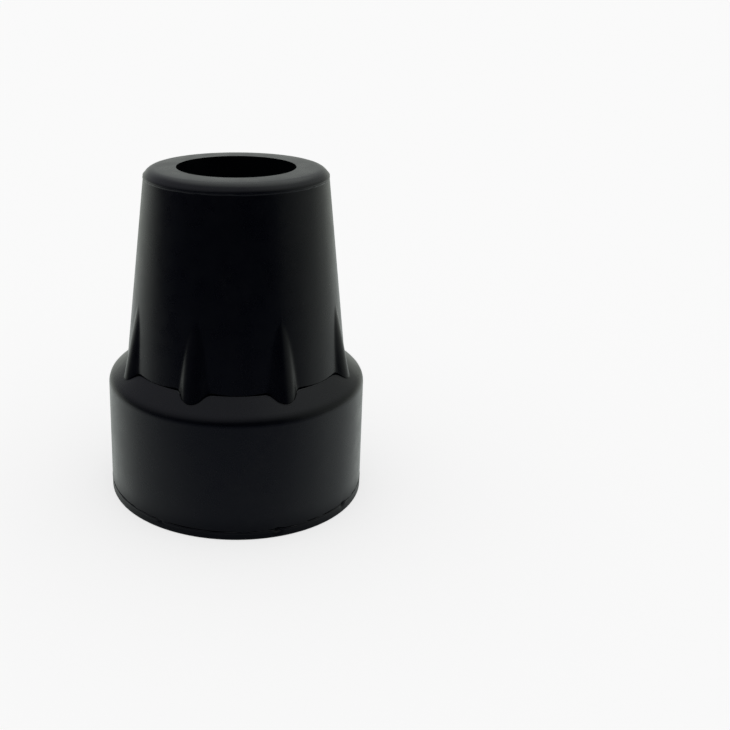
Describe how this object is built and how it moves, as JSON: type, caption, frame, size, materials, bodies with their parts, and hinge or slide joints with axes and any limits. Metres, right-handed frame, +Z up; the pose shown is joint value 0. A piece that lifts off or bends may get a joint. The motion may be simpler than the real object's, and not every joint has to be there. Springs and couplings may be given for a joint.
{
  "type": "rubber cane tip",
  "caption": "Moulded rubber tip for a walking cane: a wide round base with a ringed tread, and a ribbed tapered socket that grips the stick.",
  "frame": {"origin": "centre of the ground face, on the socket's axis", "axes": "+Z runs up the socket's axis to its mouth; -Y lies 1.1 degrees from the middle between two ribs"},
  "size_m": [0.0442, 0.0442, 0.0554],
  "materials": {
    "rubber": "smooth black moulded rubber with a soft sheen"
  },
  "bodies": {
    "root": {"cane_tip": "rubber"}
  },
  "joints": []
}
